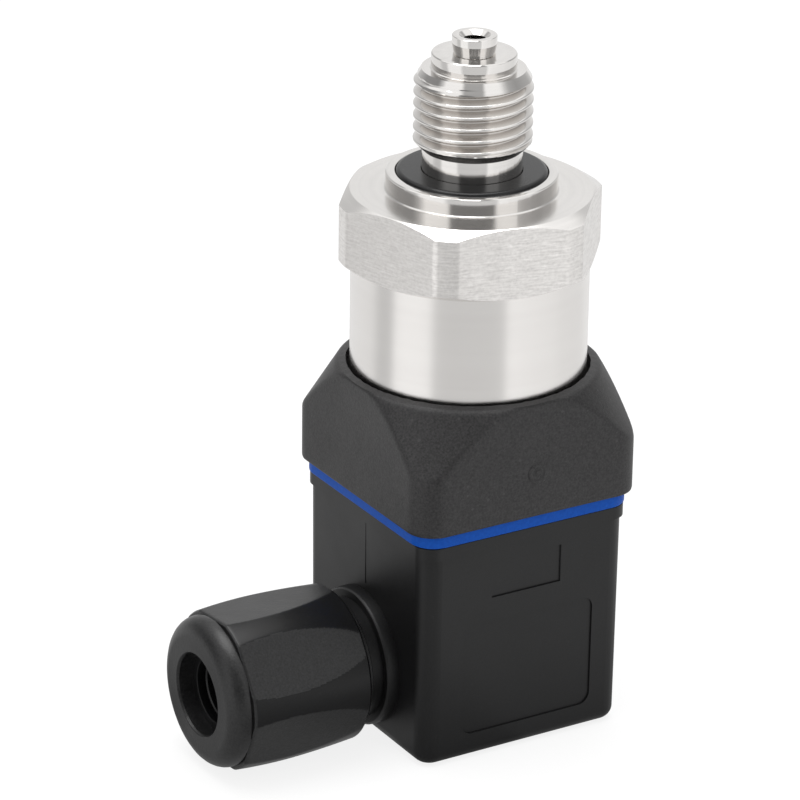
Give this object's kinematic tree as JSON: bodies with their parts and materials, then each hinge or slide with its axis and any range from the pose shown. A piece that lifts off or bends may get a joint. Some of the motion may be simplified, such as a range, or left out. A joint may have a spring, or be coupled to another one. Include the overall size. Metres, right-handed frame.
{
  "type": "pressure transmitter",
  "caption": "Stainless pressure transmitter with a threaded process port, a wrench hexagon, a round case and a square cable plug with a side cable gland.",
  "frame": {"origin": "centre of the sealing face on the hexagon's collar, on the axis of the process thread", "axes": "+Z runs out along the process thread, away from the case; -X points out along the cable gland; the plug's face with the two recessed panels looks along -Y. The part stands on the flat end of its plug, 64.7 mm below the origin."},
  "size_m": [0.0493, 0.029, 0.0803],
  "materials": {
    "stainless_steel": "turned and milled stainless steel, bright",
    "case_steel": "drawn stainless tube, fine ground",
    "zinc_steel": "zinc plated",
    "black_rubber": "black moulded rubber",
    "blue_rubber": "blue moulded rubber",
    "sensor_ceramic": "ground alumina",
    "contact_brass": "plated brass",
    "board_laminate": "green laminate",
    "chip_plastic": "black moulded resin",
    "capacitor_can": "plain can",
    "wire_cover": "insulated wire",
    "base_plastic": "black glass-filled plastic, fine grain",
    "plug_plastic": "black moulded plastic, satin",
    "block_plastic": "dark grey moulded plastic"
  },
  "bodies": {
    "transmitter": {"pressure_port": "stainless_steel", "port_seal": "black_rubber", "sensor_cell": "sensor_ceramic", "sensor_ring": "black_rubber", "sensor_clamp": "zinc_steel", "sensor_pin_1": "contact_brass", "sensor_pin_2": "contact_brass", "sensor_pin_3": "contact_brass", "sensor_pin_4": "contact_brass", "board_standoff_1": "contact_brass", "board_standoff_2": "contact_brass", "board_standoff_3": "contact_brass", "circuit_board": "board_laminate", "amplifier_chip": "chip_plastic", "regulator_chip": "chip_plastic", "filter_capacitor": "capacitor_can", "supply_lead": "wire_cover", "signal_lead": "wire_cover", "return_lead": "wire_cover", "case_tube": "case_steel", "connector_base": "base_plastic", "base_ring": "black_rubber", "thread_insert": "contact_brass", "contact_blade_1": "contact_brass", "contact_blade_2": "contact_brass", "contact_blade_3": "contact_brass", "earth_blade": "contact_brass", "earth_strap": "contact_brass", "flange_gasket": "blue_rubber", "plug_housing": "plug_plastic", "terminal_block": "block_plastic", "contact_clip_1": "contact_brass", "contact_clip_2": "contact_brass", "contact_clip_3": "contact_brass", "earth_clip": "contact_brass", "terminal_screw_1": "zinc_steel", "terminal_screw_2": "zinc_steel", "terminal_screw_3": "zinc_steel", "terminal_screw_4": "zinc_steel", "centre_screw": "zinc_steel", "screw_seal": "black_rubber", "cable_seal": "black_rubber"},
    "gland_ring": {"thrust_ring": "block_plastic"},
    "nut": {"gland_nut": "plug_plastic"}
  },
  "joints": [
    {"name": "gland_nut_advance", "type": "slide", "parent": "transmitter", "child": "gland_ring", "axis": [-1, 0, 0], "range_m": [0, 0.0113]},
    {"name": "gland_nut_turn", "type": "hinge", "parent": "gland_ring", "child": "nut", "pos_m": [-0.025, 0, -0.0557], "axis": [-1, 0, 0], "range_deg": [0, 2880]}
  ],
  "couplings": [
    {"joint": "gland_nut_advance", "follows": "gland_nut_turn", "m_per_rad": 0.00022457}
  ]
}
